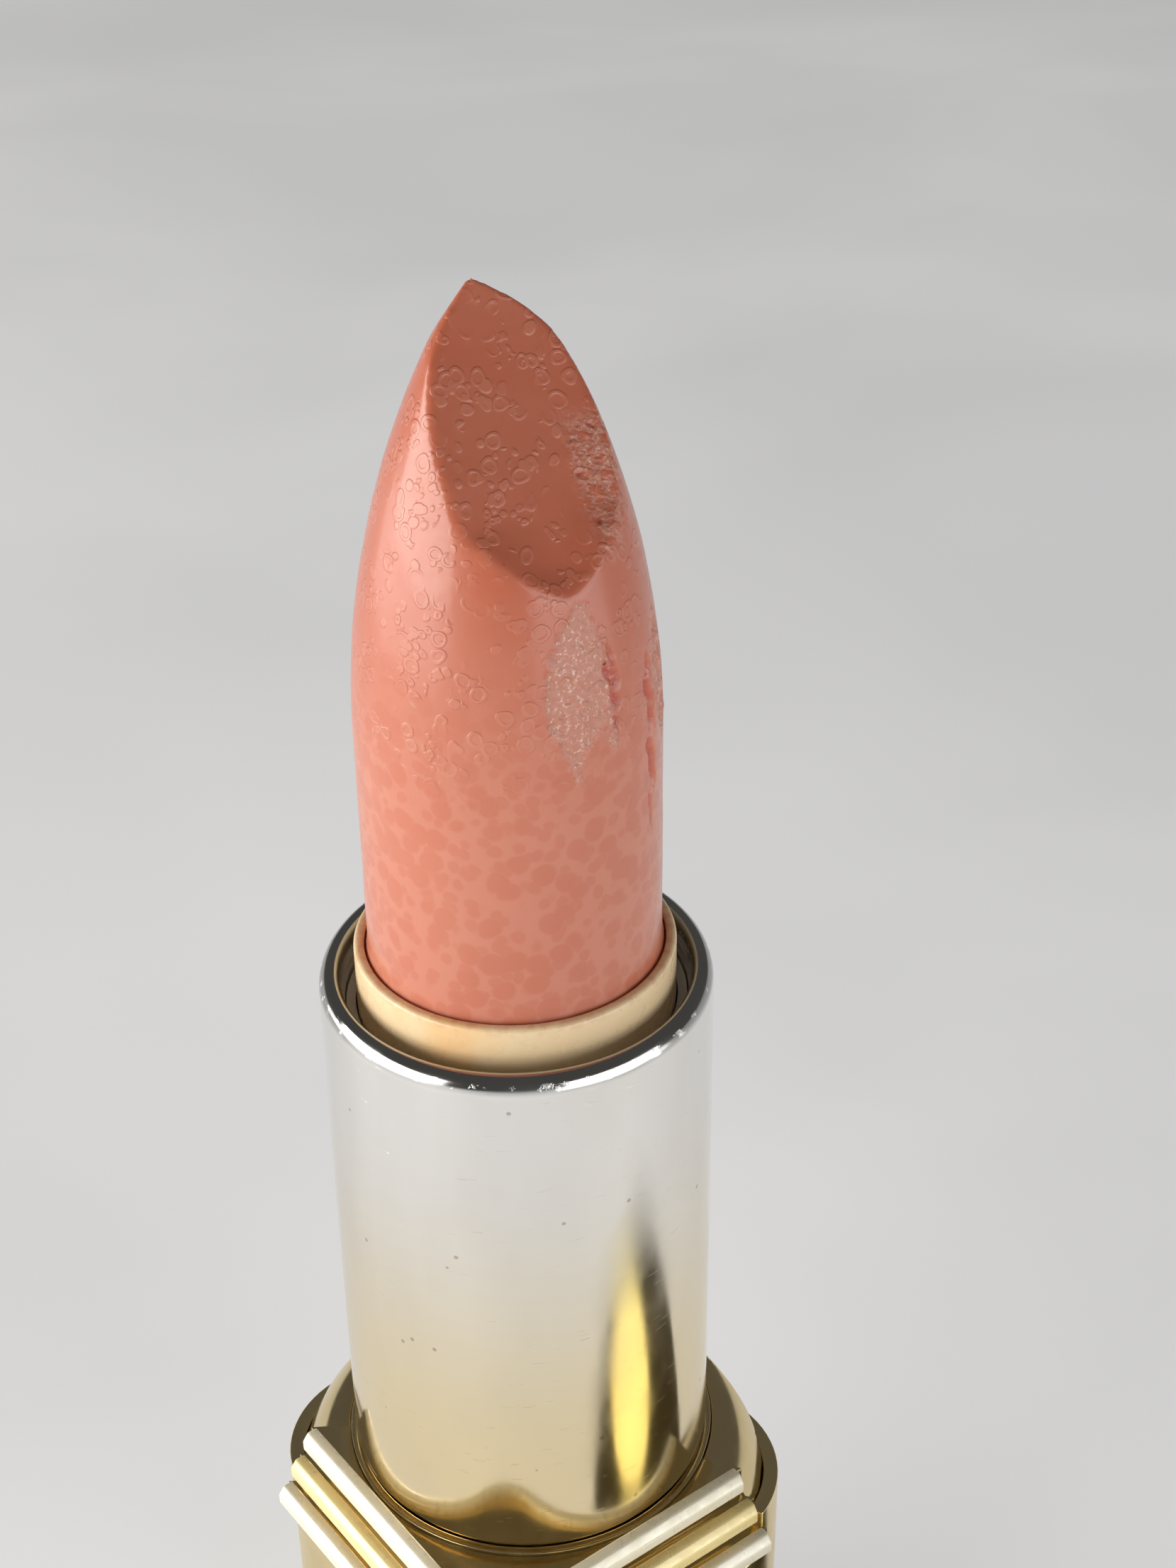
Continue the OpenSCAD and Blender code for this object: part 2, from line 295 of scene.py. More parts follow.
def hand_over(piece, body, node, material):
    """Gives a finished piece its material and body, and lets it stand for its node."""
    settle(piece)
    piece.data.materials.clear()
    piece.data.materials.append(material)
    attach(piece, body)
    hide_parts(node)
    deselect()


def lathe(name, profile, steps=160, closed=True):
    """Turns a profile of (radius, height) points: a circle is extruded and resized point by point."""
    deselect()
    radius, height = profile[0]
    bpy.ops.mesh.primitive_circle_add(vertices=steps, radius=radius, location=(0, 0, height))
    piece = begin(name)
    for r, z in profile[1:]:
        bpy.ops.mesh.extrude_region_move(TRANSFORM_OT_translate={"value": (0, 0, z - height)})
        ratio = r / radius
        bpy.ops.transform.resize(value=(ratio, ratio, 1), center_override=(0, 0, z))
        radius, height = r, z
    if closed:
        pick(piece, "edges", lambda at, edge: edge.is_boundary)
        bpy.ops.mesh.bridge_edge_loops()
    close_up()
    return piece


def arc(centre, size, start, end, steps):
    """Points on an ellipse about a centre, from one angle to another, in degrees."""
    angles = [math.radians(start + (end - start) * i / steps) for i in range(steps + 1)]
    return [(centre[0] + size[0] * math.cos(a), centre[1] + size[1] * math.sin(a)) for a in angles]


def block(name, half, bottom, top):
    """A square block about the axis, open for editing."""
    deselect()
    middle = (0, 0, (bottom + top) / 2)
    bpy.ops.mesh.primitive_cube_add(size=2, location=middle)
    piece = begin(name)
    bpy.ops.transform.resize(value=(half, half, (top - bottom) / 2), center_override=middle)
    return piece


def prism(name, half, corner, front_corner, bottom, top, segments=14):
    """A square block turned corner to the front, with its upright corners rounded."""
    piece = block(name, half, bottom, top)
    bpy.ops.transform.rotate(value=math.radians(45), orient_axis="Z", center_override=(0, 0, 0))
    reach = half * math.sqrt(2)
    for front, radius in ((False, corner), (True, front_corner)):
        pick(piece, "edges", lambda at, edge: (
            abs(math.hypot(at.x, at.y) - reach) < 0.01 * reach
            and abs(at.z) < (top - bottom) / 4 and (at.y < -0.9 * reach) == front))
        bpy.ops.mesh.bevel(offset=radius, offset_type="OFFSET", segments=segments, profile=0.5)
    settle(piece)
    return piece


def wedge(name, half_angle, radius, bottom, top):
    """A block that covers the front of the base, out to an angle on each side."""
    piece = block(name, radius, bottom, top)
    for side in (-1, 1):
        bpy.ops.mesh.select_all(action="SELECT")
        away = (-side * math.cos(half_angle), -math.sin(half_angle), 0)
        bpy.ops.mesh.bisect(
            plane_co=(0, 0, 0), plane_no=away, use_fill=True, clear_inner=True, clear_outer=False)
    close_up()
    settle(piece)
    return piece


# ---------------------------------------------------------------- materials

class Finish:
    """Builds the nodes of one material."""

    def __init__(self, name):
        self.material = bpy.data.materials.new(name)
        self.material.use_nodes = True
        self.nodes = self.material.node_tree.nodes
        self.links = self.material.node_tree.links
        self.shader = self.nodes["Principled BSDF"]
        self.place = self.nodes.new("ShaderNodeTexCoord").outputs["Object"]

    def set(self, **values):
        """Sets constants on the shader's own sockets: coat_weight is Coat Weight."""
        for key, value in values.items():
            name = key.replace("_", " ").title().replace("Ior", "IOR")
            self.shader.inputs[name].default_value = value

    def add(self, kind, inputs=None, **settings):
        """Adds a node. Inputs are values or the outputs of other nodes."""
        node = self.nodes.new("ShaderNode" + kind)
        for key, value in settings.items():
            setattr(node, key, value)
        for key, value in (inputs or {}).items():
            if isinstance(value, bpy.types.NodeSocket):
                self.links.new(value, node.inputs[key])
            else:
                node.inputs[key].default_value = value
        return node

    def maths(self, operation, a, b=0.0, clamp=False):
        return self.add("Math", {0: a, 1: b}, operation=operation, use_clamp=clamp).outputs[0]

    def times(self, a, b):
        return self.maths("MULTIPLY", a, b)

    def rough(self, scale, detail, low, high):
        """Roughness that wanders between two values."""
        self.use("Roughness", self.ramp(self.noise(self.stretch(), scale, detail), 0.3, 0.7, low, high))

    def stretch(self, scale=(1, 1, 1), turn=(0, 0, 0), shift=(0, 0, 0)):
        """Object coordinates in millimetres, stretched, turned and moved."""
        return self.add("Mapping", {
            "Vector": self.place,
            "Scale": tuple(s / MM for s in scale),
            "Rotation": tuple(math.radians(t) for t in turn),
            "Location": shift,
        }).outputs[0]

    def height(self):
        """Height above the floor, in millimetres."""
        return self.times(self.add("SeparateXYZ", {0: self.place}).outputs["Z"], 1 / MM)

    def noise(self, vector, scale, detail=3.0, rough=0.5, distortion=0.0):
        return self.add("TexNoise", {
            "Vector": vector, "Scale": scale, "Detail": detail,
            "Roughness": rough, "Distortion": distortion}).outputs["Fac"]

    def cells(self, vector, scale, feature="F1", random=1.0):
        node = self.add("TexVoronoi", {"Vector": vector, "Scale": scale, "Randomness": random},
                        feature=feature)
        return node.outputs["Distance"]

    def ramp(self, value, low, high, start=0.0, end=1.0, smooth=True):
        """Maps a value from low..high to start..end, held at both ends."""
        kind = "SMOOTHSTEP" if smooth else "LINEAR"
        return self.add("MapRange", {
            "Value": value, "From Min": low, "From Max": high,
            "To Min": start, "To Max": end}, interpolation_type=kind, clamp=True).outputs[0]

    def mix(self, factor, a, b, blend="MIX"):
        node = self.add("Mix", data_type="RGBA", blend_type=blend, clamp_factor=True)
        for socket, value in ((node.inputs[0], factor), (node.inputs[6], a), (node.inputs[7], b)):
            if isinstance(value, bpy.types.NodeSocket):
                self.links.new(value, socket)
            elif hasattr(value, "__len__"):
                socket.default_value = (*value[:3], 1)
            else:
                socket.default_value = value
        return node.outputs[2]

    def blend(self, factor, a, b):
        """Goes from one value to another."""
        return self.add("Mix", {0: factor, 2: a, 3: b}, data_type="FLOAT").outputs[0]

    def attribute(self, name):
        return self.add("Attribute", attribute_name=name).outputs["Fac"]

    def use(self, socket, value):
        self.links.new(value, self.shader.inputs[socket])

    def bump(self, *layers):
        """Layers of (height, depth in millimetres), one bump on another."""
        normal = None
        for height, depth in layers:
            inputs = {"Height": height, "Distance": depth * MM, "Strength": 1.0}
            if normal:
                inputs["Normal"] = normal
            normal = self.add("Bump", inputs).outputs[0]
        self.use("Normal", normal)


def wax_finish(colours):
    """Satin lipstick wax: milky bloom round darker cells below, sweat rings above, pale scrapes."""
    f = Finish("salmon_wax")
    f.set(roughness=0.34, subsurface_weight=0.15, subsurface_radius=(1.0, 0.35, 0.2),
          subsurface_scale=0.6 * MM, ior=1.46, coat_weight=0.4, coat_roughness=0.14)
    z = f.height()
    wobble = f.add("TexNoise", {"Vector": f.stretch(), "Scale": 0.8, "Detail": 1.0}).outputs["Color"]
    gentle = f.add("VectorMath", {0: wobble, 1: (0.45, 0.45, 0.45)}, operation="MULTIPLY").outputs[0]
    shifted = f.add("VectorMath", {0: f.stretch(), 1: gentle}, operation="ADD").outputs[0]
    blob = f.ramp(f.cells(shifted, 0.95), 0.60, 0.34)
    small_blob = f.ramp(f.cells(shifted, 1.5), 0.56, 0.32)
    cell = f.maths("MAXIMUM", blob, f.times(small_blob, 0.7))
    low_part = f.ramp(z, 69.0, 60.5)
    broad = f.ramp(f.noise(f.stretch(), 0.16, 2.0), 0.35, 0.65)
    base = f.mix(broad, colours.wax, [c * k for c, k in zip(colours.wax, (1.03, 1.16, 1.25))])
    bloom = f.times(f.ramp(cell, 0.0, 1.0, 0.46, 0.2), low_part)
    base = f.mix(bloom, base, colours.wax_pale)
    high_part = f.ramp(z, 60.0, 65.0)
    rings = sweat_rings(f, gentle, high_part)
    base = f.mix(f.times(rings, 0.16), base, colours.wax_pale)
    scrape, gouge = f.attribute("scrape"), f.attribute("gouge")
    crumbs = f.noise(f.stretch(), 6.0, 3.0, 0.7)
    flakes = f.cells(f.stretch(), 5.0)
    pale = f.mix(f.ramp(crumbs, 0.54, 0.68), colours.scraped, (0.95, 0.74, 0.65))
    base = f.mix(f.times(scrape, 0.62), base, pale)
    base = f.mix(f.times(gouge, f.ramp(crumbs, 0.4, 0.7, 1.0, 0.6)), base, colours.wax_deep)
    speck = f.ramp(f.cells(f.stretch(shift=(3, 1, 4)), 0.55), 0.055, 0.035)
    base = f.mix(f.times(speck, f.ramp(z, 69.0, 71.0, 0.0, 0.8)), base, colours.wax_deep)
    f.use("Base Color", base)
    fine = f.noise(f.stretch(), 3.0, 5.0, 0.6)
    rough = f.ramp(fine, 0.3, 0.7, 0.28, 0.38)
    rough = f.maths("ADD", rough, f.times(scrape, 0.15), clamp=True)
    f.use("Roughness", rough)
    f.bump(
        (f.noise(f.stretch(), 0.9, 3.0), 0.015),
        (rings, 0.028),
        (f.times(f.maths("ADD", crumbs, flakes), scrape), 0.045),
    )
    return f.material


def sweat_rings(f, gentle, where):
    """Thin raised rings of dried sweat beads, in two sizes."""
    shifted = f.add("VectorMath", {0: f.stretch(shift=(2, 5, 1)), 1: gentle}, operation="ADD").outputs[0]
    rings = None
    for scale, outer, patches in ((1.2, 0.36, 0.30), (2.3, 0.34, 0.52)):
        bead = f.cells(shifted, scale)
        width = 0.06 * scale
        disc = f.times(f.ramp(bead, outer + width, outer), 0.6)
        ring = f.times(f.ramp(bead, outer - 2 * width, outer - width), disc)
        bead = f.maths("ADD", f.times(disc, 0.6), ring)
        present = f.ramp(f.noise(f.stretch(shift=(scale, 9, 4)), 0.9, 1.0), patches, patches + 0.06)
        bead = f.times(bead, present)
        rings = bead if rings is None else f.maths("MAXIMUM", rings, bead)
    some = f.ramp(f.noise(f.stretch(shift=(7, 3, 5)), 0.5, 2.0), 0.36, 0.52)
    return f.times(rings, f.times(some, where))


def cup_finish(colours):
    """Satin cream plastic, stained orange where the wax has touched it."""
    f = Finish("cream_plastic")
    f.set(roughness=0.3, coat_weight=0.15, subsurface_weight=0.1, subsurface_radius=(1.0, 0.7, 0.4),
          subsurface_scale=0.5 * MM)
    z = f.height()
    rim = high("cup").z / MM
    stain = f.ramp(f.noise(f.stretch(), 0.3, 2.0, 0.5, 0.4), 0.5, 0.72, 0.0, 0.4)
    near_rim = f.ramp(z, rim - 0.5, rim - 0.05)
    spotted = f.ramp(f.noise(f.stretch(), 2.2, 3.0), 0.45, 0.62)
    colour = f.mix(stain, colours.cup, colours.stain)
    colour = f.mix(f.times(near_rim, f.times(spotted, 0.2)), colour, colours.wax)
    f.use("Base Color", colour)
    f.rough(1.5, 3.0, 0.24, 0.4)
    f.bump((f.noise(f.stretch(), 1.5, 4.0), 0.01))
    return f.material


def tube_finish(colours):
    """Bright plate: silver, with a painted dark reflection on the rolled lip and a painted reflection of
    the gold base with painted shade towards the foot, fine scratches, and chips along the lip.
    """
    f = Finish("bright_plate")
    f.set(metallic=1.0, roughness=0.14)
    z = f.height()
    lip, foot = high("outer_tube").z / MM, high("shoulder").z / MM
    # Painted reflection of the gold base and painted shade: the plate fades from silver to gold towards
    # the foot.
    painted_reflection_fade = f.ramp(z, lip - 3.0, foot + 4.0)
    colour = f.mix(painted_reflection_fade, colours.tube_silver, colours.tube_foot_painted_reflection)
    # Painted dark reflection: the rolled lip is darkened to stand in for the dark room it reflects.
    colour = f.mix(f.ramp(z, lip - 0.8, lip - 0.4), colour, (0.42, 0.42, 0.41))
    cloud = f.noise(f.stretch((1, 1, 0.4)), 0.25, 3.0)
    colour = f.mix(f.ramp(cloud, 0.4, 0.7, 0.0, 0.1), colour, (0.62, 0.52, 0.38))
    specks = f.ramp(f.cells(f.stretch(), 0.55), 0.07, 0.04)
    lines = f.ramp(f.noise(f.stretch((1, 1, 12), (20, 35, 0)), 0.9, 2.0), 0.70, 0.73)
    near_lip = f.times(f.ramp(z, lip - 0.62, lip - 0.5), f.ramp(z, lip - 0.22, lip - 0.3))
    ragged = f.ramp(f.noise(f.stretch(), 1.5, 5.0, 0.7), 0.57, 0.6)
    chip = f.times(near_lip, ragged)
    colour = f.mix(f.times(specks, 0.5), colour, (0.25, 0.2, 0.14))
    colour = f.mix(f.times(lines, 0.12), colour, (0.4, 0.36, 0.28))
    colour = f.mix(chip, colour, (0.97, 0.96, 0.94))
    f.use("Base Color", colour)
    smear = f.ramp(f.noise(f.stretch((1, 1, 0.5)), 0.4, 4.0), 0.35, 0.7, 0.10, 0.2)
    rough = f.blend(chip, smear, 0.32)
    f.use("Roughness", rough)
    f.bump(
        (f.noise(f.stretch((1, 1, 0.25)), 0.5, 2.0), 0.01),
        (lines, -0.0015),
        (chip, -0.02),
        (f.times(chip, f.noise(f.stretch(), 6.0, 3.0)), 0.03),
    )
    return f.material


def gold_finish(name, colours, dull, shade):
    """Polished gold plate, with a soft bloom and dust."""
    f = Finish(name)
    f.set(metallic=1.0, roughness=dull)
    colour = [c * shade for c in colours.gold]
    cloud = f.noise(f.stretch(), 0.3, 3.0)
    tint = f.mix(f.ramp(cloud, 0.35, 0.7), colour, [c * 0.93 for c in colour])
    dust = f.ramp(f.cells(f.stretch(), 1.1), 0.05, 0.03)
    tint = f.mix(f.times(dust, 0.35), tint, (0.5, 0.42, 0.3))
    f.use("Base Color", tint)
    f.rough(0.8, 4.0, dull * 0.8, dull * 1.3)
    f.bump((f.noise(f.stretch(), 0.35, 2.0), 0.006), (f.noise(f.stretch(), 4.0, 2.0), 0.0006))
    return f.material


def bar_finish(name, colour, edge, speckle):
    """Pearly enamel on a gold bar, with small rubbed specks."""
    f = Finish(name)
    f.set(metallic=0.15, roughness=0.35, coat_weight=0.5, coat_roughness=0.12)
    cloud = f.ramp(f.noise(f.stretch(), 0.5, 3.0), 0.35, 0.7)
    tint = f.mix(cloud, colour, [c * k for c, k in zip(colour, (0.97, 0.95, 0.88))])
    spots = f.ramp(f.noise(f.stretch(), 3.2, 3.0, 0.6), 0.62, 0.68)
    tint = f.mix(f.times(spots, speckle), tint, edge)
    f.use("Base Color", tint)
    f.rough(2.0, 4.0, 0.24, 0.4)
    f.bump((f.noise(f.stretch(), 0.9, 3.0), 0.02), (spots, -0.004))
    return f.material


def moulded_finish(name, colour, rough, tone=0.9):
    """Moulded plastic or rubber: faint flow marks and a fine grain."""
    f = Finish(name)
    f.set(roughness=rough)
    flow = f.ramp(f.noise(f.stretch((1, 1, 0.3)), 0.4, 3.0), 0.35, 0.7)
    f.use("Base Color", f.mix(flow, colour, [c * tone for c in colour]))
    f.rough(2.0, 3.0, rough * 0.85, rough * 1.15)
    f.bump((f.noise(f.stretch(), 5.0, 2.0), 0.004))
    return f.material


def steel_finish(name):
    """Zinc-plated steel with turning marks and a patchy spangle."""
    f = Finish(name)
    f.set(metallic=1.0, roughness=0.4)
    spangle = f.ramp(f.cells(f.stretch(), 0.8), 0.0, 0.9)
    f.use("Base Color", f.mix(spangle, (0.5, 0.51, 0.53), (0.62, 0.63, 0.65)))
    turned = f.add("TexWave", {"Vector": f.stretch(), "Scale": 1.6, "Distortion": 0.6},
                   wave_type="RINGS", rings_direction="Z").outputs["Fac"]
    f.use("Roughness", f.ramp(turned, 0.0, 1.0, 0.32, 0.48))
    f.bump((turned, 0.004))
    return f.material


def paper_finish(name):
    """Blank coated paper with a faint fibre."""
    f = Finish(name)
    f.set(roughness=0.7)
    fibre = f.noise(f.stretch((1, 0.25, 1), (0, 0, 25)), 4.0, 4.0)
    f.use("Base Color", f.mix(f.ramp(fibre, 0.35, 0.7), (0.84, 0.82, 0.76), (0.78, 0.76, 0.70)))
    f.use("Roughness", f.ramp(fibre, 0.3, 0.7, 0.6, 0.8))
    f.bump((fibre, 0.006))
    return f.material


# ---------------------------------------------------------------- operators

def face_axes(sizes):
    """Middle, normal, sideways and upslope directions of the bullet's face, and its half length."""
    lip = high("outer_tube").z
    low_end = Vector((5.32 * MM, 0, lip + 19.28 * MM))
    tip = Vector((-1.34 * MM, 0, high("bullet").z))
    turn = Matrix.Rotation(sizes.face_turn - math.pi / 2, 3, "Z")
    middle = turn @ ((low_end + tip) / 2)
    normal = turn @ Vector((math.sin(sizes.face_tilt), 0, math.cos(sizes.face_tilt)))
    upslope = turn @ (tip - low_end).normalized()
    return middle, normal, upslope.cross(normal), upslope, (tip - low_end).length / 2


def held(x, start, end):
    """Goes from 0 at the start to 1 at the end, and is held outside them."""
    return max(0.0, min(1.0, (x - start) / (end - start)))


def soft_step(x, start, end):
    t = np.clip((x - start) / (end - start), 0, 1)
    return t * t * (3 - 2 * t)


def ripple(points, wavelength, seed):
    """Smooth repeatable unevenness in -1..1, from a few plane waves."""
    draw = np.random.default_rng(seed)
    total = np.zeros(len(points))
    waves = 7
    for _ in range(waves):
        direction = draw.normal(size=3)
        direction /= np.linalg.norm(direction)
        length = wavelength * draw.uniform(0.6, 1.5)
        total += np.sin(2 * math.pi * (points @ direction) / length + draw.uniform(0, 2 * math.pi))
    return total / math.sqrt(waves)


class LIPSTICK_OT_bullet(bpy.types.Operator):
    """Model the bullet: turn its ogive, cut the slanted face, soften it, and scrape it"""

    bl_idname = "lipstick.bullet"
    bl_label = "Bullet"

    def execute(self, context):
        sizes, colours = context.scene.lipstick_sizes, context.scene.lipstick_colours
        piece = self.turned(sizes)
        self.cut_face(piece, sizes)
        apply_modifier(piece, "REMESH", mode="VOXEL", voxel_size=sizes.wax_voxel)
        apply_modifier(piece, "SMOOTH", factor=0.5, iterations=12)
        self.wear(piece, sizes)
        smooth(piece, 180)
        hand_over(piece, "elevator", "bullet", wax_finish(colours))
        return {"FINISHED"}

    def turned(self, sizes):
        start = high("outer_tube").z + sizes.ogive_start
        big, small = sizes.ogive_radius, sizes.bullet_radius
        full = math.acos(1 - small / big)
        rim, bead = high("cup").z, sizes.cup_bore - HAIR
        bead_end, side_start = rim - 0.2 * MM, rim + 0.12 * MM
        profile = [(small * 0.5, low("bullet").z), (bead, low("bullet").z), (bead, bead_end)]
        profile += [(small, side_start), (small, start)]
        steps = 40
        for i in range(1, steps):
            angle = full * i / steps
            profile.append((small - big * (1 - math.cos(angle)), start + big * math.sin(angle)))
        piece = lathe("lipstick_bullet", profile, ROUND, closed=False)
        for end in (-1, 1):
            pick(piece, "edges", lambda at, edge: edge.is_boundary and (at.z - start) * end > 0)
            bpy.ops.mesh.edge_face_add()
        close_up()
        return piece

    def cut_face(self, piece, sizes):
        """Cuts the slanted face with a grid that is bent to the hollow of the face, then extruded."""
        middle, normal, across, upslope, half = face_axes(sizes)
        settle(piece)
        deselect()
        reach = half * 1.5
        bpy.ops.mesh.primitive_grid_add(x_subdivisions=90, y_subdivisions=90, size=2 * reach)
        cutter = begin("face_cutter")
        mesh = bmesh.from_edit_mesh(cutter.data)
        for vertex in mesh.verts:
            u, v = vertex.co.x, vertex.co.y
            hollow = -sizes.face_hollow * (1 - (v / half) ** 2)
            keel = held(-v / half, 0.5, 1.1) * (math.hypot(u, 0.3 * MM) - 0.3 * MM)
            scoop = sizes.face_curl * (0.5 * held(-v / half, 0.84, 1.04) - held(-v / half, 0.2, 0.84))
            vertex.co.z = hollow + sizes.face_keel * keel + scoop
        bmesh.update_edit_mesh(cutter.data)
        bpy.ops.mesh.extrude_region_move(TRANSFORM_OT_translate={"value": (0, 0, 3 * half)})
        bpy.ops.mesh.select_all(action="SELECT")
        bpy.ops.mesh.normals_make_consistent(inside=False)
        bpy.ops.object.mode_set(mode="OBJECT")
        frame_of_face = Matrix((across, upslope, normal)).transposed().to_4x4()
        cutter.matrix_world = Matrix.Translation(middle) @ frame_of_face
        settle(cutter)
        cut(piece, cutter)

    def wear(self, piece, sizes):
        """Moves the surface where the wax is scraped, and marks those places for the material."""
        mesh = piece.data
        count = len(mesh.vertices)
        points = np.empty(count * 3)
        normals = np.empty(count * 3)
        mesh.vertices.foreach_get("co", points)
        mesh.vertices.foreach_get("normal", normals)
        points, normals = points.reshape(-1, 3) / MM, normals.reshape(-1, 3)
        angle = np.degrees(np.arctan2(points[:, 0], -points[:, 1]))
        z = points[:, 2]
        middle, face_normal, across, upslope, _ = face_axes(sizes)
        from_middle = points - np.array(middle) / MM
        depth = from_middle @ np.array(face_normal)
        side = from_middle @ np.array(across)
        slope = from_middle @ np.array(upslope)
        on_side = soft_step(np.abs(depth), 0.15, 0.4)
        # The tip is pinched to a point and shifted.
        to_tip = np.clip((high("bullet").z / MM - z) / (sizes.tip_pinch / MM), 0.02, 1)
        pinch = np.sqrt(1 - (1 - to_tip) ** 2)
        points = points + ((1 - pinch) * (-sizes.tip_shift / MM - side))[:, None] * np.array(across)
        rough = ripple(points, 0.8, 3)
        crumbly = ripple(points, 0.42, 5)

        def leaf(at, height, half_angle, half_height, lean=0.0):
            """1 inside a pointed leaf on the bullet's side, 0 outside, with a ragged edge."""
            up = (z - height) / half_height
            width = half_angle * np.clip(1 - up * up, 0, 1)
            off = np.abs(angle - at - lean * (z - height)) - width
            return soft_step(-off + 0.9 * crumbly, -0.5, 1.4) * (np.abs(up) < 1) * (points[:, 1] < 1)

        # The long scrape below the face, with a torn tongue beside it.
        patch = np.maximum(leaf(37.5, 66.2, 13.5, 3.3, 0.9), leaf(33.5, 65.0, 7.5, 1.7, -0.6)) * on_side
        tongue = np.maximum(leaf(50.5, 65.0, 3.6, 2.4), leaf(34.5, 63.9, 3.0, 1.9)) * on_side
        scrape = np.maximum(patch, tongue)
        push = -patch * (0.08 + 0.016 * crumbly + 0.012 * rough)
        torn = leaf(52.2, 65.6, 2.6, 1.9, -0.5) * soft_step(crumbly, -0.7, 0.3) * on_side
        gouge = torn * 0.8
        push -= torn * 0.16

        # The wandering crack down the right side, and the torn wax behind it.
        wander = 1.1 * np.sin(z * 2.3) + 0.7 * np.sin(z * 5.1 + 1.0)
        crack_width = 2.2 * soft_step(z, 58.2, 62.5) * soft_step(z, 66.2, 65.0) + 0.25
        crack = soft_step(np.abs(angle - 74.0 - wander), crack_width + 0.6, crack_width * 0.4)
        crack *= soft_step(z, 58.0, 60.0) * soft_step(z, 66.3, 65.6) * (points[:, 1] < 1)
        gouge = np.maximum(gouge, crack * 0.85)
        push -= crack * 0.28
        torn_side = leaf(88.0, 64.6, 9.0, 3.0) * on_side
        scrape = np.maximum(scrape, torn_side * 0.7)
        push += torn_side * (0.07 * crumbly - 0.07)

        # The crumbled right edge of the face, with deeper nicks.
        scuff = soft_step(side, 1.3, 2.3) * soft_step(slope, -5.6, -3.8) * soft_step(slope, 0.9, -0.4)
        scuff *= soft_step(crumbly + 0.6 * rough, -0.9, 0.1) * soft_step(np.abs(depth), 1.0, 0.5)
        scrape = np.maximum(scrape, scuff * 0.9)
        push += scuff * (0.015 * crumbly + 0.025 * rough - 0.06)
        nick = scuff * soft_step(ripple(points, 0.6, 11), 1.0, 1.5)
        gouge = np.maximum(gouge, nick * 0.9)
        push -= nick * 0.10

        # The slight unevenness of a hand-used bullet.
        push += 0.006 * ripple(points, 3.0, 17)
        points = (points + normals * push[:, None]) * MM
        mesh.vertices.foreach_set("co", points.ravel())
        for name, values in (("scrape", scrape), ("gouge", gouge)):
            attribute = mesh.attributes.new(name, "FLOAT", "POINT")
            attribute.data.foreach_set("value", values.astype(np.float32))
        mesh.update()


class LIPSTICK_OT_cup(bpy.types.Operator):
    """Model the cup that grips the bullet, with its rounded rim and two lugs"""

    bl_idname = "lipstick.cup"
    bl_label = "Cup"

    def execute(self, context):
        sizes, colours = context.scene.lipstick_sizes, context.scene.lipstick_colours
        bottom, top = low("cup").z, high("cup").z
        outer, bore = sizes.cup_radius, sizes.cup_bore
        rim, inner_rim, foot = 0.2 * MM, 0.12 * MM, 0.3 * MM
        floor, vent, lug_height = 1.0 * MM, 1.5 * MM, 1.5 * MM
        profile = [(vent, bottom), (outer - foot, bottom)]
        profile += arc((outer - foot, bottom + foot), (foot, foot), -75, 0, 5)
        profile += arc((outer - rim, top - rim), (rim, rim), 0, 90, 6)
        profile += arc((bore + inner_rim, top - inner_rim), (inner_rim, inner_rim), 90, 180, 4)
        profile += [(bore, bottom + floor), (vent, bottom + floor)]
        piece = lathe("bullet_cup", profile, 160)
        settle(piece)
        for side in (-1, 1):
            cut(piece, self.lug(side, outer, bottom + lug_height), "UNION")
        smooth(piece)
        hand_over(piece, "elevator", "cup", cup_finish(colours))
        return {"FINISHED"}

    def lug(self, side, outer, height):
        """A round lug on the cup's side, with its rim bevelled."""
        deselect()
        lug_radius, rooted, bevel = 0.75 * MM, 0.2 * MM, 0.1 * MM
        root, reach = outer - rooted, high("cup").x
        bpy.ops.mesh.primitive_cylinder_add(
            vertices=32, radius=lug_radius, depth=reach - root,
            location=(side * (root + reach) / 2, 0, height), rotation=(0, math.pi / 2, 0))
        lug = begin("lug")
        bpy.ops.object.mode_set(mode="OBJECT")
        bpy.ops.object.transform_apply(location=True, rotation=True, scale=True)
        bpy.ops.object.mode_set(mode="EDIT")
        pick(lug, "faces", lambda at, normal: normal.x * side > 0.9)
        bpy.ops.mesh.bevel(offset=bevel, segments=3)
        settle(lug)
        return lug


class LIPSTICK_OT_tube(bpy.types.Operator):
    """Model the metal tube, its edge rolled inwards and turned down inside"""

    bl_idname = "lipstick.tube"
    bl_label = "Outer tube"

    def execute(self, context):
        sizes, colours = context.scene.lipstick_sizes, context.scene.lipstick_colours
        outer, bore, lip = sizes.tube_radius, sizes.tube_radius - sizes.tube_wall, high("outer_tube").z
        foot, foot_top = outer - 0.2 * MM, high("shoulder").z + 0.45 * MM
        step = 0.05 * MM
        crest, inner_roll = outer - 0.58 * MM, 0.6 * MM
        inner = (crest - sizes.lip_opening, inner_roll)
        hem = lip - sizes.hem
        profile = [(bore, low("outer_tube").z), (foot, low("outer_tube").z), (foot, foot_top)]
        profile += [(outer - step, foot_top), (outer, foot_top + step)]
        profile += [(outer, foot_top + (lip - sizes.lip_roll - foot_top) * i / 6) for i in range(1, 6)]
        profile += arc((crest, lip - sizes.lip_roll), (outer - crest, sizes.lip_roll), 0, 90, 14)
        profile += arc((crest, lip - inner_roll), inner, 90, 180, 10)[1:]
        profile += [(sizes.lip_opening, hem), (bore, hem)]
        piece = lathe("metal_tube", profile, ROUND)
        smooth(piece, 40)
        hand_over(piece, "sleeve", "outer_tube", tube_finish(colours))
        return {"FINISHED"}


